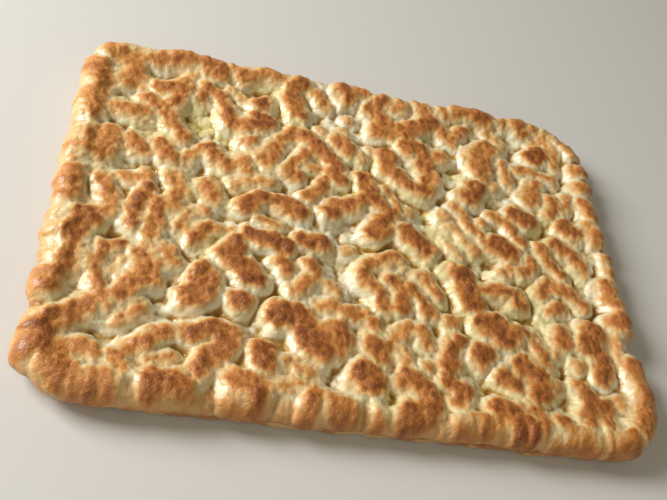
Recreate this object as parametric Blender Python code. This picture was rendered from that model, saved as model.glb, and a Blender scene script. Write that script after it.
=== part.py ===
"""Focaccia: a flat oblong loaf with a rolled rim and a top full of puffed folds.

Metres, +Z up. The loaf rests on its flat underside, with its middle over the origin.
"""

import math
import random

import bmesh
import bpy
import numpy as np

# Driving dimensions
LENGTH = 0.400              # along X, over the widest swells of the side
WIDTH = 0.300               # along Y, likewise
HEIGHT = 0.025              # from the underside to the top of the highest fold
CORNER_RADII = {(1, 1): 0.053, (-1, 1): 0.036, (-1, -1): 0.028, (1, -1): 0.033}
CM = 0.01

# Crumb and rim
VALLEY_HEIGHT = 0.0122      # the oily hollows between the folds
BELLY_HEIGHT = 0.0120       # where the side stands out furthest
SHOULDER = 0.0105           # how far in from the side the rim is rounded
RIM_RISE = 0.0030           # how far the rolled rim stands over the hollows
RIM_INSET = 0.012
RIM_SPREAD = 0.008

# Folds across: a fold is wider than its brown cap, and as high as its cap is wide times a share
FOLD_SPREAD = 1.60
FOLD_RISE = 0.52
FOLD_RISE_LIMIT = 0.0096
FOLD_RISE_SPREAD = 0.14     # folds are up to this share higher or lower than the rule
FOLD_ROUNDNESS = 0.75       # 0.5 would be an ellipse and 1 a parabola
FOLD_MEETING = 6            # the higher, the sharper the crease where folds meet
WOBBLES = ((0.043, 0.0016, 0.3), (0.026, 0.0009, 1.9))  # length, reach and start of the folds' bends

# Small bumps that fill the room between the folds
SEED = 27
BUMP_TRIES = 1500
BUMP_WIDTHS = (0.010, 0.016)
BUMP_CLEARANCE = 0.002

# Outline: waves as their count round the loaf, their reach and their start
EDGE_WAVES = ((17, 0.0009, 0.4), (29, 0.0007, 2.1), (43, 0.0005, 4.0))
# Single swells (or dents, below 0) of the side: place and spread in centimetres, then the push
EDGE_SWELLS = (
    (-11.0, 15.0, 1.4, 0.0012),
    (-1.0, 15.0, 2.2, 0.0016),
    (4.8, 15.0, 1.8, -0.0030),
    (11.8, 15.0, 1.6, 0.0028),
    (20.0, -2.5, 1.1, -0.0020),
    (20.0, -6.7, 1.1, -0.0020),
    (-20.0, 9.8, 1.4, -0.0016),
)
EDGE_GIVE = 0.030           # how far in from the side the top follows the outline

# Net of the top, and the rings of the side below it
COLUMNS = 74
ROWS = 54
TOP_INSET = 0.0075          # where the net of the top ends
SHOULDER_INSET = 0.0026
FOOT_RINGS = ((0.0028, 0.0064), (0.0010, 0.0042), (0.0030, 0.0))  # inset and height of each
FOOT_WAVES = ((7, 0.14, 1.1), (19, 0.12, 3.0))  # count round the loaf, share of the height and start

CRUST_COLOUR = (0.56, 0.27, 0.08, 1.0)
CRUST_ROUGHNESS = 0.45

# Large folds: the width of the brown cap, then the places its middle runs through, in centimetres
FOLDS = (
    # Back left
    (2.1, (-18.2, 13.1), (-16.8, 12.9), (-16.9, 11.0)),
    (1.8, (-15.3, 13.6), (-13.1, 14.0)),
    (2.1, (-11.3, 14.2), (-10.7, 13.5)),
    (1.9, (-19.1, 11.4), (-18.8, 10.0)),
    (1.9, (-18.8, 8.6), (-18.9, 6.6)),
    (1.9, (-14.6, 10.6), (-13.2, 11.0), (-13.6, 9.6)),
    (1.8, (-15.4, 9.2), (-13.6, 7.3), (-12.7, 5.9)),
    (1.9, (-17.4, 7.8), (-15.7, 7.8)),
    (2.6, (-17.9, 4.8), (-18.1, 3.3)),
    (1.8, (-15.9, 4.9), (-13.8, 4.4)),
    (1.8, (-11.4, 11.4), (-9.8, 9.8), (-8.5, 8.3)),
    (2.0, (-7.1, 10.8), (-7.1, 9.0)),
    (1.7, (-8.0, 0.5), (-7.0, 1.5), (-5.5, 1.5), (-4.3, 0.8)),
    # Back middle
    (1.8, (-4.0, 14.0), (-4.9, 13.2), (-4.3, 10.6)),
    (1.8, (-0.8, 14.1), (-0.4, 13.2)),
    (1.8, (2.5, 13.7), (1.7, 12.6), (2.0, 10.4)),
    (1.8, (4.3, 10.5), (6.3, 12.4), (7.9, 11.0)),
    (1.8, (4.1, 9.2), (5.3, 9.3), (5.6, 6.2), (4.8, 4.8), (2.6, 6.6)),
    (1.8, (-1.2, 8.3), (-0.5, 7.6)),
    (1.7, (-4.8, 8.4), (-6.2, 6.2)),
    (1.8, (-3.8, 8.2), (-1.6, 6.0), (-1.3, 4.6)),
    (1.6, (-3.8, 6.5), (-5.1, 4.7), (-2.9, 3.0)),
    (1.8, (0.4, 5.0), (2.3, 1.9), (0.8, -0.2)),
    (1.8, (3.4, 0.6), (4.7, -0.8)),
    # Back right
    (1.6, (8.8, 13.9), (10.0, 14.1)),
    (1.8, (11.1, 13.8), (11.8, 14.6)),
    (1.7, (14.1, 14.1), (15.6, 13.9)),
    (2.3, (11.0, 10.7), (10.2, 8.3)),
    (1.9, (9.5, 5.9), (8.8, 5.0)),
    (2.1, (15.1, 10.8), (15.8, 11.2)),
    (1.8, (14.8, 7.7), (14.0, 5.7)),
    (1.8, (17.6, 13.3), (18.8, 11.8)),
    (1.7, (18.6, 9.7), (19.1, 8.2)),
    (1.8, (18.5, 6.2), (18.9, 5.0)),
    (1.6, (18.7, 2.9), (19.1, 0.4)),
    (2.0, (12.5, 4.0), (13.4, 3.6)),
    (1.9, (16.4, 3.7), (17.0, 3.2)),
    (2.1, (10.4, 0.9), (11.0, 0.3)),
    (1.6, (15.3, 1.6), (16.9, 0.2)),
    # Front left
    (2.0, (-17.8, -2.4), (-18.4, -3.9), (-18.9, -7.2)),
    (1.8, (-14.4, -4.6), (-13.9, -6.7), (-15.3, -7.9)),
    (1.8, (-17.3, -9.2), (-19.1, -11.2), (-18.1, -13.4)),
    (1.8, (-16.8, -14.3), (-15.5, -14.1)),
    (2.1, (-12.8, -13.4), (-11.6, -13.3)),
    (1.8, (-10.8, -10.1), (-8.7, -10.0), (-10.1, -12.4)),
    (2.2, (-10.4, -6.0), (-10.8, -7.3)),
    (1.9, (-8.1, -7.2)),
    (2.1, (-8.6, -3.0), (-9.0, -3.8), (-7.5, -5.4)),
    (1.8, (-7.6, -1.9), (-5.3, -2.5)),
    # Front middle
    (1.9, (-4.0, -1.7), (-2.9, -1.7)),
    (2.2, (-5.6, -8.0), (-4.4, -8.0), (-3.1, -10.0)),
    (1.9, (-6.5, -11.0), (-6.5, -11.4)),
    (2.4, (-0.3, -11.5), (0.1, -12.1)),
    (1.8, (-8.2, -12.7), (-6.7, -13.4)),
    (1.8, (2.9, -11.3), (4.1, -12.9), (2.0, -14.3)),
    (1.8, (5.2, -11.3), (6.3, -11.8)),
    (1.7, (6.3, -8.1), (5.3, -10.2)),
    # Front right
    (2.0, (7.2, -2.7), (7.9, -5.0), (9.9, -7.3)),
    (2.1, (7.8, -8.9)),
    (2.0, (10.8, -9.3), (11.6, -9.9), (11.5, -11.2)),
    (1.9, (16.6, -5.8), (15.8, -6.8), (16.4, -9.4)),
    (1.7, (18.4, -1.8), (18.9, -3.4)),
    (1.8, (18.6, -5.0), (19.0, -5.2)),
    (1.8, (18.9, -8.2), (19.1, -10.2)),
    (1.8, (18.8, -11.2), (18.0, -13.0)),
    (1.8, (14.8, -10.8), (14.6, -12.6)),
    (1.9, (8.3, -12.6), (9.9, -13.9)),
    (1.6, (12.1, -14.4), (13.6, -14.1)),
    (1.8, (15.6, -14.3), (17.0, -13.9)),
)


def distance_to_fold(points, places):
    """Measure how far each point is from the line through a fold's places."""
    nearest = np.full(len(points), np.inf)
    for start, end in zip(places, places[1:] or places):
        along = end - start
        span = max(float(along @ along), 1e-12)
        share = np.clip((points - start) @ along / span, 0.0, 1.0)
        away = np.linalg.norm(points - start - share[:, None] * along, axis=1)
        nearest = np.minimum(nearest, away)
    return nearest


def all_folds():
    """List the folds and the small bumps between them: a cap's width, its rise and its places."""
    draw = random.Random(SEED)
    folds = []
    for width, *places in FOLDS:
        uneven = draw.uniform(1 - FOLD_RISE_SPREAD, 1 + FOLD_RISE_SPREAD)
        rise = min(width * CM * FOLD_RISE, FOLD_RISE_LIMIT) * uneven
        folds.append((width * CM, rise, [np.array(place) * CM for place in places]))
    for _ in range(BUMP_TRIES):
        place = np.array([draw.uniform(-LENGTH, LENGTH) / 2, draw.uniform(-WIDTH, WIDTH) / 2])
        width = draw.uniform(*BUMP_WIDTHS)
        gaps = [distance_to_fold(place[None], places)[0] - other / 2 for other, _, places in folds]
        if min(gaps) > width / 2 + BUMP_CLEARANCE:
            folds.append((width, width * FOLD_RISE, [place]))
    return folds


def fold_height(points, folds):
    """Join the folds over each point by their highest, so that neighbours meet in creases."""
    bends = np.zeros_like(points)
    for length, reach, start in WOBBLES:
        bends += reach * np.sin(math.tau * points[:, ::-1] / length + start)
    total = np.zeros(len(points))
    for width, rise, places in folds:
        reach = width / 2 * FOLD_SPREAD
        across = np.clip(1.0 - (distance_to_fold(points + bends, places) / reach) ** 2, 0.0, None)
        total += (rise * across ** FOLD_ROUNDNESS) ** FOLD_MEETING
    return total ** (1 / FOLD_MEETING)


def waves(place, rows):
    """Add up waves that run round the loaf, at a place on its outline."""
    heading = math.atan2(place[1] / WIDTH, place[0] / LENGTH)
    return sum(reach * math.sin(count * heading + start) for count, reach, start in rows)


def edge_push(place):
    """Tell how far the outline swells out, or in, near a place on it."""
    push = waves(place, EDGE_WAVES)
    for x, y, spread, reach in EDGE_SWELLS:
        away = math.dist(place, (x * CM, y * CM)) / (spread * CM)
        push += reach * math.exp(-away ** 2)
    return push


def settle(point):
    """Carry a point of a plain oblong to the loaf seen from above.

    Gives its place, the way out to the nearest side, and how deep inside the outline it is.
    """
    half = np.array([LENGTH / 2, WIDTH / 2])
    side = np.where(point < 0, -1, 1)
    radius = CORNER_RADII[int(side[0]), int(side[1])]
    past = np.abs(point) - (half - radius)
    outward = np.zeros(2)
    if past.min() > 0:
        outward = past / np.linalg.norm(past)
        point = side * (half - radius + outward * past.max())
        depth = radius - past.max()
        outward = outward * side
    else:
        nearest = int(np.argmin(half - np.abs(point)))
        outward[nearest] = side[nearest]
        depth = (half - np.abs(point))[nearest]
    give = max(0.0, 1.0 - depth / EDGE_GIVE) ** 2
    return point + outward * edge_push(point + outward * depth) * give, outward, depth


def crust_height(points, depths, folds):
    """Give the height of the top, rounded down over the shoulder to the belly of the side."""
    rim = RIM_RISE * np.exp(-((depths - RIM_INSET) / RIM_SPREAD) ** 2)
    top = VALLEY_HEIGHT + rim + fold_height(points, folds)
    shoulder = np.sqrt(1.0 - (1.0 - np.clip(depths / SHOULDER, 0.0, 1.0)) ** 2)
    return BELLY_HEIGHT + (top - BELLY_HEIGHT) * shoulder


def place_top(net, folds):
    """Lay the flat net over the loaf, and tell where its border meets the outline."""
    settled = [settle(np.array(vert.co[:2])) for vert in net.verts]
    points = np.array([point for point, _, _ in settled])
    depths = np.array([depth for _, _, depth in settled])
    heights = crust_height(points, depths, folds)
    border = {}
    for vert, height, (point, outward, depth) in zip(list(net.verts), heights, settled):
        vert.co = (*point, height)
        if vert.is_boundary:
            border[vert] = (point + outward * depth, outward)
    return border


def extrude_ring(net, border):
    """Grow one ring of faces down from the open border, and give the new border."""
    grown = bmesh.ops.extrude_edge_only(net, edges=[edge for edge in net.edges if edge.is_boundary])
    ring = {}
    for vert in grown["geom"]:
        if isinstance(vert, bmesh.types.BMVert):
            above = next(edge.other_vert(vert) for edge in vert.link_edges if edge.other_vert(vert) in border)
            ring[vert] = border[above]
    return ring


def close_side(net, border, folds):
    """Add the shoulder, the belly and the foot of the side, then the flat underside."""
    for inset in (SHOULDER_INSET, 0.0):
        border = extrude_ring(net, border)
        points = np.array([outline - outward * inset for outline, outward in border.values()])
        heights = crust_height(points, np.full(len(points), inset), folds)
        for vert, point, height in zip(border, points, heights):
            vert.co = (*point, height)
    for inset, height in FOOT_RINGS:
        border = extrude_ring(net, border)
        for vert, (outline, outward) in border.items():
            vert.co = (*(outline - outward * inset), height * (1 + waves(outline, FOOT_WAVES)))
    bmesh.ops.contextual_create(net, geom=[edge for edge in net.edges if edge.is_boundary])


def fit_sizes(net):
    """Stretch the loaf by a hair, so that it is exactly as long, wide and high as named."""
    points = np.array([vert.co for vert in net.verts])
    low, high = points.min(axis=0), points.max(axis=0)
    stretch = np.array([LENGTH, WIDTH, HEIGHT]) / (high - low)
    middle = np.array([*(low + high)[:2] / 2, 0.0])
    for vert, point in zip(net.verts, points):
        vert.co = (point - middle) * stretch


def crust_material():
    """Make the browned, slightly oily crust."""
    material = bpy.data.materials.new("crust")
    material.use_nodes = True
    surface = material.node_tree.nodes["Principled BSDF"]
    surface.inputs["Base Color"].default_value = CRUST_COLOUR
    surface.inputs["Roughness"].default_value = CRUST_ROUGHNESS
    surface.inputs["Metallic"].default_value = 0.0
    return material


def make_focaccia():
    """Model the loaf as one solid."""
    folds = all_folds()
    net = bmesh.new()
    bmesh.ops.create_grid(net, x_segments=COLUMNS, y_segments=ROWS, size=1.0)
    for vert in net.verts:
        vert.co.x *= LENGTH / 2 - TOP_INSET
        vert.co.y *= WIDTH / 2 - TOP_INSET
    border = place_top(net, folds)
    close_side(net, border, folds)
    fit_sizes(net)
    bmesh.ops.recalc_face_normals(net, faces=net.faces)

    mesh = bpy.data.meshes.new("focaccia")
    net.to_mesh(mesh)
    net.free()
    mesh.shade_smooth()
    mesh.set_sharp_from_angle(angle=math.radians(60))
    mesh.materials.append(crust_material())
    return bpy.data.objects.new("focaccia", mesh)


for startup_object in list(bpy.data.objects):
    bpy.data.objects.remove(startup_object, do_unlink=True)
collection = bpy.data.collections.new("Focaccia")
bpy.context.scene.collection.children.link(collection)
collection.objects.link(make_focaccia())
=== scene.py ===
"""Focaccia on a pale studio floor, seen as in the photograph. Metres, +Z up."""

import math

import bmesh
import bpy
import numpy as np
from mathutils import Matrix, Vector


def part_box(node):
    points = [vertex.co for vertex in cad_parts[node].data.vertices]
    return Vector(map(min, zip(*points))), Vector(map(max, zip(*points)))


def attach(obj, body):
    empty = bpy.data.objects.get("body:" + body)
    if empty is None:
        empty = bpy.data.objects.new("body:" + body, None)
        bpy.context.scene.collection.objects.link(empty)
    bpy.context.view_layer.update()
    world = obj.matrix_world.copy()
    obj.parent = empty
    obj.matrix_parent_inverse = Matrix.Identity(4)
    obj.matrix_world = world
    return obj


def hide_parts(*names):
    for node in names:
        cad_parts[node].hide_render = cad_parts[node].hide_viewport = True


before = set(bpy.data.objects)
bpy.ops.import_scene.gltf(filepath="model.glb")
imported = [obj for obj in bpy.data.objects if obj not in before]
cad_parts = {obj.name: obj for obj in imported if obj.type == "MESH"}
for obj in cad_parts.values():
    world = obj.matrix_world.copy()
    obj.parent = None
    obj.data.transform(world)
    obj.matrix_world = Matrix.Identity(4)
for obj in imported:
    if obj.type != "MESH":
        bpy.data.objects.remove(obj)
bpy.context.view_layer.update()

LOAF_LOW, LOAF_HIGH = (np.array(corner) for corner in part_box("focaccia"))
LENGTH, WIDTH = (LOAF_HIGH - LOAF_LOW)[:2]
CM = 0.01
MM = 0.001
TINY = 1e-12                # keeps a length from being 0

# Camera, fitted to the edges of the loaf in the photograph
CAMERA_PITCH = math.radians(48.12)
CAMERA_YAW = math.radians(20.03)
CAMERA_ROLL = math.radians(24.13)
CAMERA_SHIFT = (11.33 * MM, 4.15 * MM)  # the loaf's middle lies this far right of the axis and above
CAMERA_DISTANCE = 588.0 * MM
FOCAL_PIXELS = 850
IMAGE_WIDTH = 667
SENSOR = 36
CLIP_START = 0.01

# Lamps: name, place, size, power and tint
LAMPS = (
    ("key", (-1.55, 0.50, 1.00), 0.9, 50.5, (1.0, 0.985, 0.955)),
    ("fill", (-0.2, -1.0, 1.1), 1.2, 4.4, (1.0, 0.93, 0.76)),
)
STUDIO_TINT = (1.0, 0.90, 0.68, 1.0)
STUDIO_STRENGTH = 0.18
FLOOR_SIZE = 6.0
FLOOR_GAP = 0.0002          # keeps the floor clear of the underside
FLOOR_TINT = (0.62, 0.61, 0.59, 1.0)
FLOOR_ROUGHNESS = 0.7

# Hollows and rim
CORNER_RADII = {(1, 1): 0.053, (-1, 1): 0.036, (-1, -1): 0.028, (1, -1): 0.033}
VALLEY_HEIGHT = 0.0095
RIM_RISE = 0.0030           # how far the rim stands over the hollows
RIM_TURN = 0.0100           # how far in from the side the top starts to roll over
RIM_REACH = 2.2 * RIM_TURN  # how far in from the side its rise starts
RIM_FILL = 0.0022           # how high the creases of the rim are filled
RIM_ROLL = (0.0055, 0.0035)  # radii of the rolled rim below its folds: outwards and up
RIM_TONES = (0.48, 0.32)    # how brown the rim is at least, in front and behind
RIM_BAKED = (15.0 * MM, 5.0 * MM)  # how far in from the side that brown starts, and is full

# Rings that roll the rim over and down the side
ROLL_ANGLES = (81, 72, 63, 54, 45, 36, 27, 18, 9, 0, -12, -26, -42)
ROLL_SHARE = 0.95           # the folds are followed out over this share of the turn in a quarter roll
ROLL_LIMIT = 1.1            # and stay the same further round than this many quarters
SIDE_SHARE = 0.68           # folds on the side stand out by this share of their height
UNDER_SHARE = 0.5           # they reach down under the roll by this share of that
DENT_SHARE = 0.9
DENT_REACH = 6              # in places along a ring

# Rings below the roll: inset with a base lip and without one, height and level, downwards.
# The level says which tint of the side a ring has: 2 is the groove, and 3 the base lip.
FOOT_RINGS = (
    (0.0030, 0.0036, 0.0055, 1.9),
    (0.0020, 0.0036, 0.0050, 2.1),
    (0.0002, 0.0036, 0.0046, 2.4),
    (-0.0008, 0.0037, 0.0038, 2.7),
    (-0.0008, 0.0042, 0.0022, 2.9),
    (0.0002, 0.0052, 0.0008, 3.0),
    (0.0036, 0.0070, 0.0, 3.2),
)
GROOVE_LEVEL = 2.0
LAST_LEVEL = 3.2
PLAIN_LEVELS = 0.2          # share of the levels that is left where there is no lip
LIP_START = (-0.150, -0.115)  # the lip grows from nothing between these places along the loaf

# Waves: how often each goes round the loaf, its reach and its start
FOOT_WAVES = ((7, 0.14, 1.1), (19, 0.12, 3.0), (43, 0.10, 0.5))
LIP_WAVES = ((11, 0.0005, 0.7), (31, 0.0006, 2.0), (53, 0.0005, 1.0), (83, 0.0003, 3.0))
EDGE_WAVES = ((17, 0.0009, 0.4), (29, 0.0007, 2.1), (43, 0.0005, 4.0))
# Single swells (or dents, below 0) of the side: place and spread in centimetres, then the push
EDGE_SWELLS = (
    (-11.0, 15.0, 1.4, 0.0012),
    (-1.0, 15.0, 2.2, 0.0016),
    (4.8, 15.0, 1.8, -0.0030),
    (11.8, 15.0, 1.6, 0.0028),
    (20.0, -2.5, 1.1, -0.0020),
    (20.0, -6.7, 1.1, -0.0020),
    (-20.0, 9.8, 1.4, -0.0016),
)
EDGE_GIVE = 0.030           # how far in from the side the top follows the outline

# Net of the top
COLUMNS = 320
ROWS = 238
CAVITY_REACH = 4            # in cells

# Folds across
FLANK = 0.0044              # pale flank beside a brown cap
FLANK_SHARE = 0.06
RISE = 0.0064
RISE_SHARE = 0.34
RISE_LIMIT = 0.0130
PALE_RISE = 0.70            # a pale fold is this share as high as the rule says
TONE_RISE = 0.35            # and a brown one by this much more
ROUNDNESS = 0.74            # 0.5 would be an ellipse across and 1 a parabola
MEETING = 14                # the higher, the sharper the crease where folds meet
PLATEAU_REACH = 1.45        # folds that lie close together stand on one puffed lobe
PLATEAU_SHARE = 0.28
CAP_EDGE = (-3.2 * MM, 7.0 * MM)  # how far inside a cap's edge its brown starts, and is full
CAP_MEETING = 3             # the lower, the more the brown of neighbours runs together
HALO_EDGE = (-4.8 * MM, 2.0 * MM)
HALO_TONE = 0.36            # tan that reaches down the flanks round each brown cap
HOLLOW_END = (0.0015, 0.0060)  # heights between which the bumps of the hollows give way to a fold's
BLEND = 4                   # the higher, the sharper one height gives way to another

# Layers of soft hills: the reach, size and seed of each
BEND_ALONG = ((1.0 * MM, 0.019, 1), (1.2 * MM, 0.0080, 2), (0.4 * MM, 0.0040, 9))
BEND_ACROSS = ((1.0 * MM, 0.019, 3), (1.2 * MM, 0.0080, 4), (0.4 * MM, 0.0040, 10))
PINCH = ((0.24, 0.013, 14),)
RAGGED_CAPS = ((1.5 * MM, 0.0060, 5), (0.9 * MM, 0.0030, 6), (0.3 * MM, 0.0014, 8))
UNEVEN_RISE = ((0.16, 0.018, 7), (0.10, 0.0085, 15))
CRUST_HILLS = ((0.4 * MM, 0.0075, 11), (0.35 * MM, 0.0036, 12))
RAGGED_RIM = ((3.0 * MM, 0.010, 13),)
# Layers of round domes: the height, size and seed of each
HOLLOW_DOMES = ((4.0 * MM, 0.0115, 21), (1.2 * MM, 0.0048, 22))
FOLD_DOMES = ((1.5 * MM, 0.0090, 23), (0.9 * MM, 0.0050, 24))
RIM_DOMES = ((1.1 * MM, 0.0085, 25),)
LATTICE = 257               # cells of a layer before it repeats
DOME_PLACES = (0.15, 0.85)  # shares of a cell between which a dome's middle lies
DOME_RADIUS = 0.42          # in cells, before a random share of the spread is added to it
DOME_SPREAD = 0.35

# Colours on the screen, from 0 to 255
GAMMA = 2.2
CRUST_TINTS = (             # by how brown the crust is baked
    (0.00, (224, 217, 190)),
    (0.14, (224, 212, 179)),
    (0.34, (213, 178, 123)),
    (0.55, (198, 136, 72)),
    (0.78, (168, 103, 48)),
    (1.00, (134, 76, 33)),
)
RIM_TINTS = ((0.0, (200, 142, 78)), (1.0, (178, 112, 56)))
SIDE_TINTS = (              # from the shoulder over the groove down to the foot
    (0.30, (186, 118, 60)),
    (0.50, (150, 88, 42)),
    # The darkest stop, at the groove, is painted shade under the overhanging roll
    (0.60, (112, 62, 28)),
    (0.72, (206, 164, 104)),
    (0.90, (222, 190, 134)),
    (0.985, (206, 160, 96)),
)
# Pale pimple spots on the caps, partly tiny blisters and partly painted glints
PIMPLE_AND_GLINT_TINT = (240, 200, 150)
OIL_TINT = (198, 180, 106)
YELLOW_TINT = (212, 196, 124)
FLAKE_TINT = (176, 112, 62)
CREASE_TINT = (194, 150, 62)
PLAIN_TINT = (255, 255, 255)

# Textures, in waves or cells a metre
GRAIN_SCALE = 1200.0
BLISTER_SCALE = 800.0
SKIN_SCALE = 520.0
SPOT_SCALE = 260.0
PEBBLE_SCALE = 230.0
MOTTLE_SCALE = 95.0
FLAKE_SCALE = 60.0
PATCH_SCALE = 22.0
ROUGH_NOISE = 0.6

# Carries the places below, which were read off a flat grid, to where the folds' tops are
FOLD_SHIFT = np.array([2.2, -2.1]) * MM
FOLD_STRETCH = np.array([0.996, 1.014])
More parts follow.
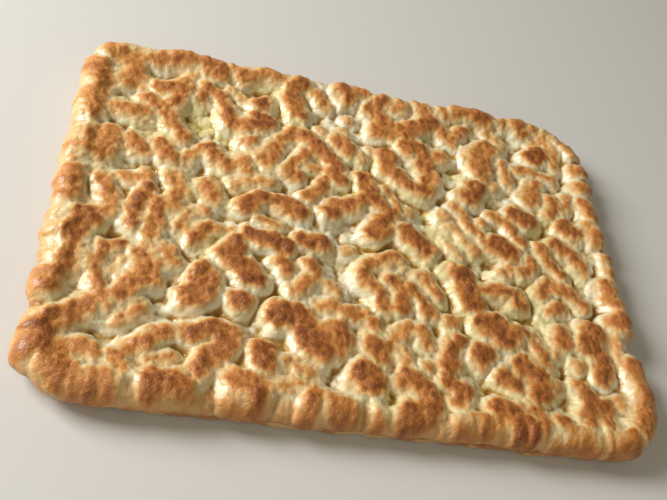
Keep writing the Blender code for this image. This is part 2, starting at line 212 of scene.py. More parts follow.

# Folds of the top, read off the photograph: the brown cap's width, how brown it is from
# 0 to 1, and the places its middle runs through. Centimetres.
FOLDS = (
    # Back left
    (2.1, 0.65, (-18.2, 13.1), (-16.8, 12.9), (-16.9, 11.0)),
    (1.8, 0.65, (-15.3, 13.6), (-13.1, 14.0)),
    (2.1, 0.75, (-11.3, 14.2), (-10.7, 13.5)),
    (1.2, 0.55, (-12.6, 12.8), (-12.8, 12.1)),
    (1.9, 0.70, (-19.2, 11.4), (-18.8, 10.0)),
    (1.9, 0.65, (-18.8, 8.6), (-18.9, 6.6)),
    (1.3, 0.60, (-16.0, 11.5), (-15.9, 10.4)),
    (1.9, 0.80, (-14.6, 10.6), (-13.2, 11.0), (-13.6, 9.6)),
    (1.7, 0.70, (-15.4, 9.2), (-14.3, 8.6), (-13.6, 7.3), (-12.7, 5.9)),
    (1.9, 0.60, (-17.4, 7.8), (-15.7, 7.8)),
    (2.6, 0.65, (-17.9, 4.8), (-18.1, 3.3)),
    (1.7, 0.70, (-15.9, 4.9), (-15.4, 4.1)),
    (1.7, 0.70, (-14.3, 5.0), (-13.6, 3.9)),
    (1.3, 0.60, (-12.4, 3.8), (-11.5, 4.9), (-10.6, 5.6)),
    (1.5, 0.75, (-10.8, 5.2), (-9.4, 4.0)),
    (1.5, 0.60, (-8.4, 4.6), (-8.1, 3.7)),
    (1.3, 0.50, (-8.8, 2.6), (-7.4, 3.0), (-6.4, 3.1)),
    (1.6, 0.75, (-11.7, 10.3), (-11.4, 11.4), (-10.6, 11.1), (-9.8, 9.8), (-9.4, 8.5), (-8.5, 8.3)),
    (1.9, 0.80, (-7.1, 10.8)),
    (2.1, 0.95, (-7.1, 9.0)),
    (1.0, 0.35, (-9.6, 12.0), (-8.5, 11.2)),
    (1.8, 0.60, (-9.4, 13.9), (-8.6, 13.4)),
    (1.3, 0.60, (-7.7, 13.6)),
    (1.6, 0.60, (-7.1, 14.3), (-5.8, 14.1)),
    (1.6, 0.60, (-15.6, 1.2), (-14.8, 1.7)),
    (1.1, 0.55, (-16.3, 1.3)),
    (1.7, 0.60, (-13.0, 2.0), (-12.6, 0.9), (-13.0, -0.6)),
    (1.7, 0.65, (-10.8, 1.8), (-10.2, 0.8)),
    (1.7, 0.85, (-8.0, 0.5), (-7.0, 1.5), (-5.5, 1.5), (-4.3, 0.8)),
    (1.1, 0.60, (-7.0, -0.5), (-5.8, -0.8)),
    (1.6, 0.70, (-19.2, 0.9), (-19.2, -1.0)),
    (1.5, 0.65, (-17.4, 0.6), (-16.8, -0.4), (-16.7, -1.7)),
    (1.5, 0.85, (-14.7, 0.4), (-15.1, -1.0), (-15.2, -2.4)),
    (1.5, 0.80, (-13.8, -0.4), (-13.9, -1.6), (-14.1, -3.0)),
    (1.0, 0.60, (-19.6, 2.8), (-19.5, 1.6)),
    # Back middle
    (1.7, 0.75, (-4.0, 14.0), (-4.9, 13.2), (-4.7, 11.8), (-4.3, 10.6)),
    (1.2, 0.60, (-3.7, 13.7), (-2.9, 13.2), (-2.2, 12.3)),
    (1.2, 0.60, (-3.8, 14.7), (-2.5, 14.8)),
    (1.8, 0.80, (-0.8, 14.1), (-0.4, 13.2)),
    (1.5, 0.65, (0.4, 14.5), (0.9, 14.1)),
    (1.8, 0.80, (2.5, 13.7), (1.7, 12.6), (2.3, 11.5), (2.0, 10.4)),
    (1.5, 0.60, (3.7, 13.2), (4.1, 13.6)),
    (1.4, 0.70, (3.6, 11.0), (3.2, 10.2)),
    (1.8, 0.85, (4.3, 10.5), (5.3, 11.4), (6.3, 12.4)),
    (1.5, 0.75, (6.4, 12.5), (7.3, 11.9), (7.9, 11.0)),
    (1.8, 0.80, (4.1, 9.2), (5.3, 9.3), (5.5, 7.8), (5.6, 6.2), (5.1, 5.0)),
    (1.7, 0.75, (2.4, 8.0), (2.6, 6.6), (3.5, 5.4), (4.8, 4.8)),
    (1.0, 0.45, (1.4, 8.2)),
    (1.8, 0.70, (-1.2, 8.3), (-0.5, 7.6)),
    (1.4, 0.45, (0.5, 7.2)),
    (0.9, 0.30, (-0.3, 11.3)),
    (1.1, 0.25, (-2.6, 9.4)),
    (1.1, 0.25, (-0.9, 9.6)),
    (1.5, 0.75, (-4.8, 8.4), (-5.6, 7.6), (-6.2, 6.2), (-6.7, 5.1)),
    (1.5, 0.60, (-7.9, 6.8)),
    (1.2, 0.45, (-7.4, 5.8)),
    (1.7, 0.80, (-3.8, 8.2), (-2.6, 7.1), (-1.6, 6.0), (-1.3, 4.6)),
    (1.4, 0.75, (-3.8, 6.5), (-4.6, 5.5), (-5.1, 4.7), (-4.4, 4.0)),
    (1.0, 0.60, (-3.6, 5.2), (-2.5, 5.3)),
    (1.5, 0.70, (-2.3, 4.2), (-2.9, 3.0), (-3.6, 2.3)),
    (1.7, 0.85, (0.4, 5.0), (0.7, 3.8), (1.5, 2.8), (2.3, 1.9), (1.6, 0.8), (0.8, -0.2)),
    (1.6, 0.80, (0.3, 2.9), (-0.6, 2.1), (-1.6, 1.8), (-2.2, 1.2)),
    (1.2, 0.60, (2.3, 4.4), (2.8, 3.4), (3.0, 2.5)),
    (1.1, 0.40, (3.8, 2.7)),
    (1.7, 0.90, (3.4, 0.6), (4.0, -0.3), (4.7, -0.8)),
    (1.7, 0.75, (7.0, 8.8)),
    (1.5, 0.60, (5.6, 14.1), (6.1, 13.5)),
    # Back right
    (1.3, 0.60, (7.5, 13.9), (7.8, 13.4)),
    (1.6, 0.65, (8.8, 13.9), (10.0, 14.1)),
    (1.8, 0.70, (11.0, 13.9), (11.7, 14.6)),
    (1.3, 0.65, (13.1, 14.1)),
    (1.6, 0.70, (14.3, 14.2), (14.6, 13.4)),
    (1.4, 0.70, (8.5, 11.7), (9.5, 12.5)),
    (1.3, 0.55, (11.6, 12.7), (12.2, 11.8)),
    (2.3, 0.70, (11.0, 10.7), (10.4, 9.8), (10.2, 8.3)),
    (1.3, 0.60, (12.2, 9.4), (12.5, 7.7)),
    (1.4, 0.60, (10.9, 6.8)),
    (1.9, 0.85, (9.5, 5.9), (8.8, 5.0)),
    (2.1, 0.95, (15.1, 10.8), (15.8, 11.2)),
    (1.2, 0.60, (15.4, 12.5), (16.6, 12.8), (17.1, 11.5), (17.0, 10.2)),
    (1.2, 0.65, (13.6, 9.1), (14.9, 8.9), (16.2, 8.7)),
    (1.6, 0.70, (14.8, 7.7), (14.3, 6.6), (14.0, 5.7)),
    (1.6, 0.70, (15.9, 6.2), (15.8, 5.2), (15.4, 4.6)),
    (1.2, 0.60, (17.2, 6.7), (17.0, 5.6)),
    (1.6, 0.65, (18.1, 13.0), (18.8, 11.8)),
    (1.6, 0.65, (18.6, 9.8), (19.2, 9.8)),
    (1.6, 0.65, (18.7, 8.0), (19.2, 7.9)),
    (1.7, 0.70, (18.5, 6.2), (18.9, 5.2)),
    (1.3, 0.65, (18.4, 3.8), (18.8, 2.6)),
    (1.4, 0.60, (15.7, 14.0)),
    (1.4, 0.60, (16.9, 13.8), (17.5, 13.6)),
    (2.0, 0.90, (12.5, 4.0), (13.4, 3.6)),
    (1.9, 0.85, (16.4, 3.7), (17.0, 3.2)),
    (1.3, 0.75, (10.5, 3.6), (11.4, 3.2), (12.0, 2.2), (12.5, 1.4)),
    (1.2, 0.65, (9.6, 2.6)),
    (1.1, 0.65, (7.6, 3.7), (8.2, 3.1), (8.4, 2.4)),
    (1.0, 0.45, (6.5, 3.0), (7.1, 2.0), (7.7, 1.2)),
    (1.5, 0.65, (8.5, 2.1), (9.2, 1.5), (9.6, 0.6)),
    (1.2, 0.45, (7.9, 0.6), (8.6, -0.2)),
    (0.9, 0.20, (6.8, 0.2), (7.4, -0.8)),
    (2.1, 0.95, (10.4, 0.9), (11.0, 0.3)),
    (1.4, 0.75, (14.0, 0.9), (14.3, 0.0), (15.0, -1.1)),
    (1.5, 0.75, (15.3, 1.6), (16.4, 0.9), (16.9, 0.2)),
    (1.4, 0.70, (12.9, -0.2), (12.3, -1.3)),
    (0.9, 0.60, (17.4, 0.8), (17.2, -0.6)),
    (1.0, 0.65, (19.2, 1.0), (19.3, -0.8)),
    # Front left
    (2.0, 0.90, (-17.8, -2.4), (-18.4, -3.9)),
    (1.5, 0.75, (-18.4, -4.6), (-18.5, -6.0), (-18.9, -7.2)),
    (0.9, 0.55, (-19.7, -2.5), (-19.7, -5.5)),
    (1.6, 0.70, (-19.5, -7.4), (-19.1, -8.3)),
    (1.3, 0.70, (-15.7, -4.2), (-16.7, -4.6), (-17.2, -5.6)),
    (1.3, 0.70, (-17.1, -6.1), (-16.7, -7.4), (-16.2, -8.6)),
    (1.7, 0.75, (-14.4, -4.6), (-13.9, -5.7), (-13.9, -6.7), (-14.9, -7.3), (-15.3, -7.9)),
    (0.9, 0.50, (-15.9, -6.0), (-15.2, -5.2)),
    (1.3, 0.60, (-13.9, -8.8), (-15.0, -9.5)),
    (1.5, 0.60, (-12.8, -4.3), (-12.5, -5.0)),
    (1.8, 0.80, (-17.3, -9.2), (-18.2, -10.1), (-19.0, -10.9)),
    (1.8, 0.75, (-19.1, -11.2), (-19.1, -12.4)),
    (2.2, 0.80, (-18.1, -12.6), (-17.7, -13.4)),
    (1.6, 0.70, (-17.0, -12.0), (-16.1, -12.2)),
    (1.8, 0.75, (-16.8, -14.3), (-15.5, -14.1)),
    (1.4, 0.75, (-14.3, -11.6), (-13.2, -10.8), (-12.4, -10.3)),
    (1.4, 0.70, (-15.0, -12.2), (-14.7, -12.9)),
    (1.1, 0.60, (-13.3, -12.2), (-12.0, -11.9)),
    (2.1, 0.85, (-12.8, -13.4), (-11.6, -13.3)),
    (1.3, 0.70, (-13.9, -14.6)),
    (1.2, 0.70, (-12.8, -14.7), (-11.9, -14.6)),
    (1.0, 0.65, (-10.9, -14.4), (-10.2, -14.6)),
    (0.9, 0.65, (-9.5, -14.6)),
    (1.8, 0.85, (-10.8, -10.1), (-9.6, -9.6), (-8.7, -10.0), (-8.9, -11.0), (-9.8, -11.8), (-10.1, -12.4)),
    (2.2, 0.85, (-10.4, -6.0), (-10.3, -6.9), (-10.8, -7.3)),
    (1.9, 0.95, (-8.1, -7.2)),
    (2.1, 0.90, (-8.6, -3.0), (-9.0, -3.8), (-7.8, -4.8), (-7.5, -5.4)),
    (1.8, 1.00, (-7.6, -1.9), (-6.2, -2.2), (-5.3, -2.5)),
    (1.5, 0.75, (-10.5, -1.9), (-11.1, -2.8)),
    (1.1, 0.60, (-12.1, -2.0), (-11.6, -0.8), (-10.7, -0.4)),
    (1.1, 0.60, (-9.9, -1.9), (-8.9, -1.7)),
    # Front middle
    (1.9, 0.85, (-4.0, -1.7), (-2.9, -1.7)),
    (1.5, 0.75, (-5.5, -3.8), (-5.1, -4.4)),
    (1.4, 0.70, (-3.6, -3.7), (-3.1, -4.5), (-3.9, -5.3), (-4.5, -5.9)),
    (1.0, 0.55, (-2.3, -5.0), (-1.7, -5.7)),
    (1.3, 0.65, (-2.9, -6.8), (-1.9, -6.6)),
    (1.5, 0.75, (-1.1, -6.9), (-0.3, -7.1)),
    (1.4, 0.75, (0.5, -7.8)),
    (1.7, 0.80, (0.4, -9.2), (0.8, -10.1)),
    (1.3, 0.65, (1.4, -9.2), (1.9, -8.3), (2.9, -7.6), (3.7, -7.7), (4.2, -8.6)),
    (2.2, 0.95, (-5.6, -8.0), (-4.4, -8.0), (-3.7, -9.0), (-3.1, -10.0)),
    (1.6, 0.85, (-1.9, -8.4), (-1.5, -9.2), (-2.2, -10.0)),
    (1.9, 0.95, (-6.5, -11.0), (-6.5, -11.4)),
    (1.4, 0.55, (-5.0, -11.3), (-3.8, -11.7)),
    (2.4, 0.90, (-0.3, -11.5), (0.1, -12.1)),
    (1.8, 0.80, (-8.2, -12.7), (-7.1, -13.1), (-6.7, -13.4)),
    (1.5, 0.70, (-8.2, -14.4), (-6.7, -14.1)),
    (1.3, 0.55, (-5.4, -13.0), (-4.3, -12.7), (-3.5, -13.0)),
    (1.6, 0.75, (-3.5, -13.5), (-3.9, -14.4)),
    (1.8, 0.75, (-2.2, -13.9), (-1.5, -14.3)),
    (1.2, 0.65, (-5.4, -14.4)),
    (1.5, 0.75, (0.4, -14.3)),
    (1.8, 0.85, (2.9, -11.3), (3.5, -12.1), (4.1, -12.9), (3.0, -13.6), (2.0, -14.3)),
    (1.2, 0.60, (2.0, -11.7)),
    (0.9, 0.55, (3.3, -14.3)),
    (1.0, 0.60, (4.7, -14.5)),
    (1.7, 0.85, (5.2, -11.3), (6.3, -11.8), (5.7, -12.5)),
    (1.6, 0.85, (6.3, -8.1), (5.7, -9.0), (5.3, -10.2)),
    (1.4, 0.65, (6.1, -6.8)),
    (1.3, 0.65, (0.3, -2.9), (1.6, -2.4), (2.6, -1.9)),
    (1.4, 0.75, (0.1, -3.6), (0.3, -4.4), (1.1, -5.0), (1.4, -6.1)),
    (1.5, 0.80, (2.0, -3.9), (2.7, -4.8), (2.5, -6.1)),
    (1.4, 0.75, (3.4, -4.6), (4.1, -5.4), (4.5, -6.2)),
    (1.2, 0.65, (4.3, -3.3), (4.8, -4.2), (5.3, -4.6)),
    (0.9, 0.50, (3.2, -2.9)),
    (1.1, 0.60, (2.6, -9.4), (2.4, -10.4)),
    (1.3, 0.60, (4.0, -10.2)),
    (1.1, 0.50, (-1.0, -1.9)),
    # Front right
    (2.0, 0.90, (7.2, -2.7), (7.3, -3.8), (7.9, -5.0)),
    (1.4, 0.80, (8.5, -3.6), (9.8, -3.4), (11.1, -3.6), (11.3, -4.2)),
    (2.2, 0.95, (8.4, -6.4), (9.2, -6.4), (9.9, -7.3)),
    (2.1, 0.95, (7.8, -8.9)),
    (2.0, 0.90, (10.8, -9.3), (11.6, -9.9), (11.5, -11.2)),
    (1.8, 0.85, (9.2, -10.4), (9.8, -10.9)),
    (1.2, 0.70, (10.9, -6.5), (11.8, -6.9), (12.2, -8.0), (12.5, -9.2)),
    (1.6, 0.75, (14.1, -6.1), (14.1, -7.0)),
    (1.4, 0.65, (13.6, -4.5), (14.4, -3.9)),
    (1.4, 0.70, (13.2, -3.1), (14.0, -2.3), (15.2, -2.5), (16.4, -3.6)),
    (1.9, 0.85, (16.6, -5.8), (15.8, -6.8), (16.6, -8.0), (16.4, -9.4)),
    (1.3, 0.65, (14.9, -8.7)),
    (1.1, 0.60, (13.4, -8.1)),
    (1.9, 0.75, (18.5, -5.0), (19.1, -4.7)),
    (1.4, 0.70, (18.3, -1.6), (18.5, -2.6), (18.9, -3.4)),
    (1.0, 0.60, (17.9, -6.3), (18.0, -8.2)),
    (1.8, 0.70, (18.8, -8.2), (19.2, -9.6), (19.0, -11.2), (18.3, -12.8)),
    (1.3, 0.55, (17.2, -11.2)),
    (1.8, 0.85, (14.8, -10.8), (15.1, -11.6), (14.6, -12.6)),
    (1.5, 0.80, (16.2, -11.7), (15.9, -12.9)),
    (1.6, 0.80, (12.6, -13.1)),
    (1.7, 0.75, (10.8, -12.6), (11.2, -13.5)),
    (1.9, 0.90, (8.3, -12.6), (9.4, -13.0), (9.9, -13.9)),
    (1.2, 0.65, (8.4, -13.6), (8.5, -14.3)),
    (0.9, 0.60, (9.5, -14.6)),
    (1.6, 0.70, (5.7, -14.4), (6.7, -14.2), (7.6, -13.8)),
    (1.6, 0.75, (12.1, -14.4), (13.5, -14.1), (14.7, -14.3)),
    (1.6, 0.75, (15.8, -14.4), (17.2, -13.9)),
    (1.1, 0.60, (12.9, -10.6)),
    (1.1, 0.60, (10.5, -1.8), (11.0, -1.2)),
)


def noise(points, size, seed):
    """Give soft random hills of about one size over the plane, from -1 to 1."""
    lattice = np.random.default_rng(seed).uniform(-1.0, 1.0, (LATTICE, LATTICE))
    cells = points / size + LATTICE
    low = np.floor(cells).astype(int)
    share = cells - low
    share = share * share * (3.0 - 2.0 * share)
    i, j = low[:, 0] % LATTICE, low[:, 1] % LATTICE
    k, m = (i + 1) % LATTICE, (j + 1) % LATTICE
    near = lattice[i, j] * (1 - share[:, 0]) + lattice[k, j] * share[:, 0]
    far = lattice[i, m] * (1 - share[:, 0]) + lattice[k, m] * share[:, 0]
    return near * (1 - share[:, 1]) + far * share[:, 1]


def bubbles(points, size, seed):
    """Give small round domes, about one a cell, from 0 to 1."""
    jitter = np.random.default_rng(seed).uniform(*DOME_PLACES, (LATTICE, LATTICE, 3))
    cells = points / size + LATTICE
    low = np.floor(cells).astype(int)
    height = np.zeros(len(points))
    for i in (-1, 0, 1):
        for j in (-1, 0, 1):
            cell = low + (i, j)
            middle = jitter[cell[:, 0] % LATTICE, cell[:, 1] % LATTICE]
            away = np.linalg.norm(cell + middle[:, :2] - cells, axis=1)
            radius = DOME_RADIUS + DOME_SPREAD * middle[:, 2]
            dome = radius * np.sqrt(np.clip(1.0 - (away / radius) ** 2, 0.0, None))
            height = np.maximum(height, dome)
    return height


def layers(kind, points, rows):
    """Add up layers of hills or domes, each with a reach, a size and a seed of its own."""
    return sum(reach * kind(points, size, seed) for reach, size, seed in rows)


def ease(low, high, values):
    """Go smoothly from 0 at low to 1 at high."""
    share = np.clip((values - low) / (high - low), 0.0, 1.0)
    return share * share * (3.0 - 2.0 * share)


def distance_to_fold(points, places):
    """Measure how far each point is from the line through a fold's places."""
    nearest = np.full(len(points), np.inf)
    for start, end in zip(places, places[1:] or places):
        along = end - start
        span = max(float(along @ along), TINY)
        share = np.clip((points - start) @ along / span, 0.0, 1.0)
        away = np.linalg.norm(points - start - share[:, None] * along, axis=1)
        nearest = np.minimum(nearest, away)
    return nearest


def fold_relief(points):
    """Give the height of the folds over the hollows, and how brown each point is baked."""
    bends = [layers(noise, points, rows) for rows in (BEND_ALONG, BEND_ACROSS)]
    bent = points + np.stack(bends, axis=1)
    pinch = 1.0 + layers(noise, points, PINCH)
    ragged = layers(noise, points, RAGGED_CAPS)
    uneven = 1.0 + layers(noise, points, UNEVEN_RISE)
    crests, plateaus, caps, halos = np.zeros((4, len(points)))
    for width, tone, *places in FOLDS:
        width = width * CM
        places = [np.array(place) * CM * FOLD_STRETCH + FOLD_SHIFT for place in places]
        away = pinch * distance_to_fold(bent, places)
        reach = width / 2 + FLANK + FLANK_SHARE * width
        rise = (RISE + RISE_SHARE * width) * (PALE_RISE + TONE_RISE * tone)
        crest = rise * np.clip(1.0 - (away / reach) ** 2, 0.0, None) ** ROUNDNESS
        plateau = rise * np.clip(1.0 - (away / reach / PLATEAU_REACH) ** 2, 0.0, None)
        crests += crest ** MEETING
        plateaus += plateau ** MEETING
        inside = width / 2 - away + ragged
        caps += (ease(*CAP_EDGE, inside) * tone) ** CAP_MEETING
        halos = np.maximum(halos, ease(*HALO_EDGE, inside))
    crests = crests ** (1 / MEETING) * (1.0 - PLATEAU_SHARE)
    plateaus = plateaus ** (1 / MEETING) * PLATEAU_SHARE
    relief = (crests + plateaus) * uneven
    relief = relief / (1.0 + (relief / RISE_LIMIT) ** BLEND) ** (1 / BLEND)
    low = 1.0 - ease(*HOLLOW_END, relief)
    relief += low * layers(bubbles, bent, HOLLOW_DOMES)
    relief += (1.0 - low) * layers(bubbles, bent, FOLD_DOMES)
    return relief, np.maximum(caps ** (1 / CAP_MEETING), HALO_TONE * halos)


def blur(values, reach):
    """Spread the values on a net over a reach given in cells."""
    steps = np.arange(-2 * reach, 2 * reach + 1)
    weights = np.exp(-(steps / reach) ** 2)
    weights /= weights.sum()
    for _ in range(2):
        padded = np.pad(values, ((2 * reach, 2 * reach), (0, 0)), mode="edge")
        values = sum(weight * padded[k:k + len(values)] for k, weight in enumerate(weights)).T
    return values


def smooth_round(values, reach):
    """Even out values along a closed ring over a reach given in places."""
    return sum(np.roll(values, step) for step in range(-reach, reach + 1)) / (2 * reach + 1)


def waves(places, rows):
    """Add up waves that run round the loaf, at places on its outline."""
    heading = np.arctan2(places[:, 1] / WIDTH, places[:, 0] / LENGTH)
    return sum(reach * np.sin(count * heading + start) for count, reach, start in rows)


def edge_push(places):
    """Tell how far the outline swells out, or in, near places on it."""
    push = waves(places, EDGE_WAVES)
    for x, y, spread, reach in EDGE_SWELLS:
        away = np.linalg.norm(places - np.array([x, y]) * CM, axis=1) / (spread * CM)
        push += reach * np.exp(-away ** 2)
    return push


def settle(points):
    """Carry points of a plain oblong to the loaf seen from above.

    Gives their places, the way out to the nearest side, and how deep inside the outline they are.
    """
    half = np.array([LENGTH / 2, WIDTH / 2])
    side = np.where(points < 0, -1, 1)
    radius = np.array([CORNER_RADII[int(x), int(y)] for x, y in side])
    past = np.abs(points) - (half - radius[:, None])
    in_corner = past.min(axis=1) > 0
    length = np.maximum(np.linalg.norm(past, axis=1), TINY)
    reach = past.max(axis=1)
    round_out = side * past / length[:, None]
    round_place = side * (half - radius[:, None]) + round_out * reach[:, None]

    gap = half - np.abs(points)
    nearest = gap.argmin(axis=1)
    plain_out = np.zeros_like(points)
    rows = np.arange(len(points))
    plain_out[rows, nearest] = side[rows, nearest]

    outward = np.where(in_corner[:, None], round_out, plain_out)
    places = np.where(in_corner[:, None], round_place, points)
    depths = np.where(in_corner, radius - reach, gap.min(axis=1))
    give = np.clip(1.0 - depths / EDGE_GIVE, 0.0, None) ** 2
    push = edge_push(places + outward * depths[:, None])
    return places + outward * (push * give)[:, None], outward, depths


def swell(points, depths):
    """Give how far the folds stand out at points this deep inside the outline, and their browning."""
    relief, brown = fold_relief(points)
    on_rim = ease(2 * RIM_TURN, RIM_TURN, depths)
    relief = (relief ** BLEND + (RIM_FILL * on_rim) ** BLEND) ** (1 / BLEND)
    relief += layers(noise, points, CRUST_HILLS) + on_rim * layers(bubbles, points, RIM_DOMES)
    rim_tone = np.interp(points[:, 1], (-WIDTH / 2, WIDTH / 2), RIM_TONES)
    baked = ease(*RIM_BAKED, depths + layers(noise, points, RAGGED_RIM))
    return relief, np.maximum(brown, rim_tone * baked)


def top_part(points, depths):
    """Raise the net of the top: its places, browning, relief, cavity and level of the side."""
    relief, brown = swell(points, depths)
    heights = VALLEY_HEIGHT + RIM_RISE * ease(RIM_REACH, RIM_TURN, depths) + relief
    net = heights.reshape(COLUMNS + 1, ROWS + 1)
    cavity = (blur(net, CAVITY_REACH) - net).ravel()
    return np.column_stack([points, heights]), brown, relief, cavity, np.zeros(len(points))


def roll_parts(outline, out):
    """Roll the rim over and down the side, ring by ring, with the folds standing out from it."""
    roll_out, roll_up = RIM_ROLL
    for angle in ROLL_ANGLES:
        turn, past = math.radians(angle), 1.0 - angle / 90.0
        depth = RIM_TURN * (1.0 - ROLL_SHARE * min(past, ROLL_LIMIT))
        bulge, brown = swell(outline - out * depth, np.full(len(out), depth))
        share = SIDE_SHARE + (1.0 - SIDE_SHARE) * max(math.sin(turn), 0.0)
        lift = share if angle > 0 else share * UNDER_SHARE
        inset = RIM_TURN - (roll_out + bulge * share) * math.cos(turn)
        height = VALLEY_HEIGHT + RIM_RISE - roll_up + (roll_up + bulge * lift) * math.sin(turn)
        ring = outline - out * inset[:, None]
        dent = DENT_SHARE * (smooth_round(bulge, DENT_REACH) - bulge)
        yield np.column_stack([ring, height]), brown, bulge, dent, np.full(len(out), past)


def foot_parts(outline, out, brown):
    """Add the groove, the base lip and the foot of the side, ring by ring."""
    lift = 1.0 + waves(outline, FOOT_WAVES)
    lip = waves(outline, LIP_WAVES)[:, None]
    lip_share = ease(*LIP_START, outline[:, 0])
    plain = np.zeros(len(out))
    for lip_inset, plain_inset, height, level in FOOT_RINGS:
        inset = plain_inset + (lip_inset - plain_inset) * lip_share[:, None]
        ring = outline - out * inset + out * lip * max(level - GROOVE_LEVEL, 0.0)
        side = 1.0 + (level - 1.0) * (PLAIN_LEVELS + (1.0 - PLAIN_LEVELS) * lip_share)
        yield np.column_stack([ring, height * lift]), brown, plain, plain, side


def build_crust():
    """Make the whole crust as one closed mesh, with what its material reads as attributes."""
    across = np.linspace(-1.0, 1.0, COLUMNS + 1) * (LENGTH / 2 - RIM_TURN)
    along = np.linspace(-1.0, 1.0, ROWS + 1) * (WIDTH / 2 - RIM_TURN)
    net = np.stack(np.meshgrid(across, along, indexing="ij"), axis=-1).reshape(-1, 2)
    points, outward, depths = settle(net)

    index = np.arange(len(points)).reshape(COLUMNS + 1, ROWS + 1)
    border = np.concatenate([index[:-1, 0], index[-1, :-1], index[:0:-1, -1], index[0, :0:-1]])
    corners = [index[:-1, :-1], index[1:, :-1], index[1:, 1:], index[:-1, 1:]]
    faces = [np.stack(corners, axis=-1).reshape(-1, 4)]

    out = outward[border]
    outline = points[border] + out * depths[border][:, None]
    roll = list(roll_parts(outline, out))
    lowest_brown = roll[-1][1]
    rings = roll + list(foot_parts(outline, out, lowest_brown))
    verts, *looks = (np.concatenate(parts) for parts in zip(top_part(points, depths), *rings))
    low, high = verts.min(axis=0), verts.max(axis=0)
    verts = LOAF_LOW + (verts - low) * (LOAF_HIGH - LOAF_LOW) / (high - low)

    above = border
    for number in range(len(rings)):
        below = len(points) + number * len(border) + np.arange(len(border))
        faces.append(np.stack([above, below, np.roll(below, -1), np.roll(above, -1)], axis=-1))
        above = below
    underside = above.tolist()

    mesh = bpy.data.meshes.new("focaccia_crust")
    mesh.from_pydata(verts.tolist(), [], np.concatenate(faces).tolist() + [underside])
    for name, values in zip(("browning", "relief", "cavity", "side"), looks):
        layer = mesh.attributes.new(name, "FLOAT", "POINT")
        layer.data.foreach_set("value", values.astype(np.float32))
    net = bmesh.new()
    net.from_mesh(mesh)
    bmesh.ops.recalc_face_normals(net, faces=net.faces)
    net.to_mesh(mesh)
    net.free()
    mesh.shade_smooth()
    crust = bpy.data.objects.new("focaccia_crust", mesh)
    bpy.context.scene.collection.objects.link(crust)
    return crust


def colour(tint):
    """Turn a screen colour from 0 to 255 into the linear colour of a shader."""
    return tuple((value / 255) ** GAMMA for value in tint) + (1.0,)


class Nodes:
    """Adds shader nodes to a material and links them in one call each."""

    def __init__(self, material):
        material.use_nodes = True
        self.tree = material.node_tree
        self.surface = self.tree.nodes["Principled BSDF"]
        self.place = self.add("ShaderNodeTexCoord", {}).outputs["Object"]

    def put(self, node, socket, value):
        """Link a value that other nodes work out, or set a plain one."""
        if isinstance(value, bpy.types.NodeSocket):
            self.tree.links.new(value, node.inputs[socket])
        else:
            node.inputs[socket].default_value = value

    def add(self, kind, inputs, **settings):
        node = self.tree.nodes.new(kind)
        for name, value in settings.items():
            setattr(node, name, value)
        for socket, value in inputs.items():
            self.put(node, socket, value)
        return node

    def attribute(self, name):
        return self.add("ShaderNodeAttribute", {}, attribute_name=name).outputs["Fac"]

    def noise(self, scale, detail, roughness=0.5):
        inputs = {"Vector": self.place, "Scale": scale, "Detail": detail, "Roughness": roughness}
        return self.add("ShaderNodeTexNoise", inputs).outputs["Fac"]

    def cells(self, scale):
        inputs = {"Vector": self.place, "Scale": scale}
        return self.add("ShaderNodeTexVoronoi", inputs).outputs["Distance"]

    def bump(self, height, strength, distance, **below):
        """Press a height into the surface, over the bumps below it if there are any."""
        inputs = {"Height": height, "Strength": strength, "Distance": distance, **below}
        return self.add("ShaderNodeBump", inputs).outputs["Normal"]

    def ramp(self, factor, stops):
        node = self.add("ShaderNodeValToRGB", {0: factor})
        elements = node.color_ramp.elements
        while len(elements) < len(stops):
            elements.new(0.5)
        for element, (position, tint) in zip(elements, stops):
            element.position = position
            element.color = colour(tint)
        return node.outputs["Color"]

    def calc(self, operation, *values):
        inputs = dict(enumerate(values))
        return self.add("ShaderNodeMath", inputs, operation=operation).outputs[0]

    def plus(self, first, second):
        return self.calc("ADD", first, second)

    def minus(self, first, second):
        return self.calc("SUBTRACT", first, second)

    def times(self, first, second):
        return self.calc("MULTIPLY", first, second)

    def swing(self, value, reach):
        """Centre a value that runs from 0 to 1 on 0, and scale it."""
        return self.times(self.minus(value, 0.5), reach)

    def span(self, value, low, high, to_low=0.0, to_high=1.0):
        """Go smoothly from one number where the value is low to another where it is high."""
        inputs = {0: value, 1: low, 2: high, 3: to_low, 4: to_high}
        node = self.add("ShaderNodeMapRange", inputs, interpolation_type="SMOOTHSTEP")
        return node.outputs["Result"]

    def mix(self, factor, first, second, blend="MIX"):
        """Mix two colours: a mix node takes them at its sockets 6 and 7."""
        inputs = {0: factor, 6: first, 7: second}
        return self.add("ShaderNodeMix", inputs, data_type="RGBA", blend_type=blend).outputs[2]


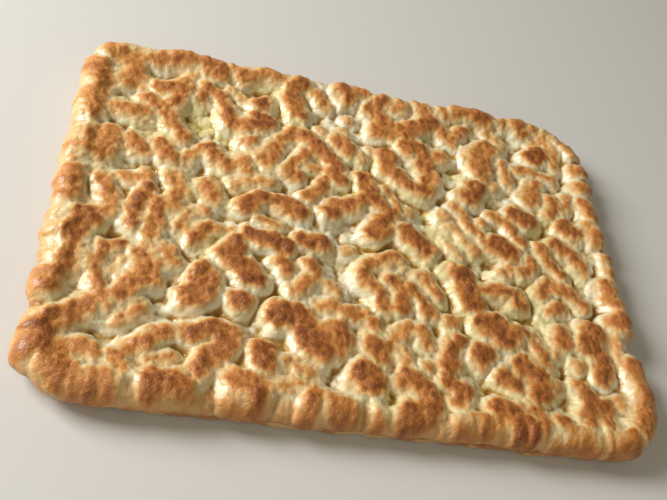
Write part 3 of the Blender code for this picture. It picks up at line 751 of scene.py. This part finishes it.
def crust_material():
    """Bake the crust: brown grainy caps, cream flanks and glossy olive-yellow hollows."""
    material = bpy.data.materials.new("focaccia_crust")
    make = Nodes(material)
    browning, relief, cavity, side = map(make.attribute, ("browning", "relief", "cavity", "side"))
    grain = make.noise(GRAIN_SCALE, 2.0, ROUGH_NOISE)
    spots = make.noise(SPOT_SCALE, 3.0, ROUGH_NOISE)
    mottle = make.noise(MOTTLE_SCALE, 4.0, ROUGH_NOISE)
    flakes = make.noise(FLAKE_SCALE, 2.0)
    patches = make.noise(PATCH_SCALE, 2.0)
    blisters = make.cells(BLISTER_SCALE)

    # Crests are baked browner than dents, and caps are spotty
    baked = make.times(browning, make.span(cavity, 0.0006, -0.0013, 0.82, 1.26))
    baked = make.plus(baked, make.swing(mottle, 0.18))
    baked = make.plus(baked, make.swing(spots, make.span(browning, 0.1, 0.5, 0.0, 0.18)))
    baked = make.plus(baked, make.swing(grain, 0.10))
    crust = make.ramp(baked, CRUST_TINTS)

    # Pale pimples on the caps: partly tiny blisters, partly painted glints standing in for small
    # highlights
    pimples_and_glints = make.times(make.span(blisters, 0.34, 0.14), make.span(browning, 0.2, 0.6))
    crust = make.mix(make.times(pimples_and_glints, 0.32), crust, colour(PIMPLE_AND_GLINT_TINT))

    # Oil in the hollows, and yellow patches wherever the crust is pale
    oily = make.span(relief, 0.0045, 0.0010)
    oil_patches = make.times(oily, make.span(patches, 0.40, 0.62, 0.30, 1.0))
    crust = make.mix(oil_patches, crust, colour(OIL_TINT))
    pale = make.span(browning, 0.38, 0.05, 0.0, 0.60)
    yellowed = make.times(make.span(patches, 0.46, 0.60), pale)
    crust = make.mix(yellowed, crust, colour(YELLOW_TINT))

    # The rim, and the warm shade in the creases
    rim = make.ramp(make.plus(side, make.swing(mottle, 0.5)), RIM_TINTS)
    crust = make.mix(make.times(make.span(side, 0.2, 1.0), 0.15), crust, rim)
    crease = make.span(cavity, 0.0002, 0.0024)
    shade = make.mix(crease, colour(PLAIN_TINT), colour(CREASE_TINT))
    crust = make.mix(1.0, crust, shade, "MULTIPLY")

    # The side, ring by ring: 0 to 1 is the shoulder, 2 the groove, darkened with painted shade, and 3 the
    # base lip
    levels = make.plus(make.calc("DIVIDE", side, LAST_LEVEL), make.swing(mottle, 0.30))
    side_tint = make.ramp(levels, SIDE_TINTS)
    browned_lip = make.times(make.span(flakes, 0.46, 0.56), make.span(side, 2.1, 2.5))
    side_tint = make.mix(make.times(browned_lip, 0.85), side_tint, colour(FLAKE_TINT))
    tint = make.mix(make.span(side, 1.05, 1.60), crust, side_tint)

    # Caps are dry and dull, hollows wet and glossy
    dry = make.span(browning, 0.15, 0.6)
    rough = make.plus(make.plus(make.times(dry, 0.16), 0.34), make.swing(mottle, 0.20))
    wet = make.plus(make.times(oily, 0.40), 0.38)
    coat = make.times(wet, make.minus(1.0, make.times(dry, 0.4)))

    crusty = make.span(browning, 0.20, 0.65)
    grit = make.times(make.minus(grain, make.times(blisters, 0.8)), crusty)
    skin = make.times(make.noise(SKIN_SCALE, 2.0, ROUGH_NOISE), 0.45)
    pebbles = make.minus(skin, make.cells(PEBBLE_SCALE))
    normal = make.bump(grit, 0.6, 0.4 * MM)
    normal = make.bump(pebbles, 0.5, 1.6 * MM, Normal=normal)
    normal = make.bump(mottle, 0.5, 1.5 * MM, Normal=normal)

    looks = {
        "Base Color": tint,
        "Roughness": rough,
        "Coat Weight": coat,
        "Coat Roughness": 0.10,
        "Specular IOR Level": 0.38,
        "Subsurface Weight": 0.40,
        "Subsurface Radius": (1.0, 0.55, 0.25),
        "Subsurface Scale": 0.005,
        "Normal": normal,
    }
    for socket, value in looks.items():
        make.put(make.surface, socket, value)
    return material


def add_light(name, place, size, power, tint):
    """Hang a soft square lamp that faces the loaf."""
    data = bpy.data.lights.new(name, "AREA")
    data.size = size
    data.energy = power
    data.color = tint
    lamp = bpy.data.objects.new(name, data)
    lamp.location = place
    direction = -lamp.location.normalized()
    lamp.rotation_euler = direction.to_track_quat("-Z", "Y").to_euler()
    bpy.context.scene.collection.objects.link(lamp)


def add_studio_light():
    """Fill the room with a faint even light."""
    world = bpy.data.worlds.new("studio")
    world.use_nodes = True
    background = world.node_tree.nodes["Background"]
    background.inputs["Color"].default_value = STUDIO_TINT
    background.inputs["Strength"].default_value = STUDIO_STRENGTH
    bpy.context.scene.world = world


def add_camera():
    """Set the camera where the photograph was taken from."""
    pitch, yaw, roll = CAMERA_PITCH, CAMERA_YAW, CAMERA_ROLL
    heading = math.cos(pitch) * math.sin(yaw), math.cos(pitch) * math.cos(yaw)
    forward = np.array([*heading, -math.sin(pitch)])
    level = np.array([math.cos(yaw), -math.sin(yaw), 0.0])
    upright = np.cross(level, forward)
    right = math.cos(roll) * level + math.sin(roll) * upright
    up = -math.sin(roll) * level + math.cos(roll) * upright
    place = -CAMERA_SHIFT[0] * right - CAMERA_SHIFT[1] * up - CAMERA_DISTANCE * forward
    data = bpy.data.cameras.new("camera")
    data.sensor_width = SENSOR
    data.lens = FOCAL_PIXELS / IMAGE_WIDTH * SENSOR
    data.clip_start = CLIP_START
    camera = bpy.data.objects.new("camera", data)
    turn = np.column_stack([right, up, -forward])
    camera.matrix_world = Matrix.Translation(place.tolist()) @ Matrix(turn.tolist()).to_4x4()
    bpy.context.scene.collection.objects.link(camera)
    bpy.context.scene.camera = camera


def add_floor():
    """Lay a plain pale floor under the loaf."""
    place = (0.0, 0.0, LOAF_LOW[2] - FLOOR_GAP)
    bpy.ops.mesh.primitive_plane_add(size=FLOOR_SIZE, location=place)
    floor = bpy.context.object
    floor.name = "floor"
    material = bpy.data.materials.new("floor")
    material.use_nodes = True
    surface = material.node_tree.nodes["Principled BSDF"]
    surface.inputs["Base Color"].default_value = FLOOR_TINT
    surface.inputs["Roughness"].default_value = FLOOR_ROUGHNESS
    floor.data.materials.append(material)


add_camera()
crust = build_crust()
crust.data.materials.append(crust_material())
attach(crust, "root")
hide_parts("focaccia")

add_floor()
for lamp in LAMPS:
    add_light(*lamp)
add_studio_light()
bpy.context.scene.view_settings.view_transform = "Standard"
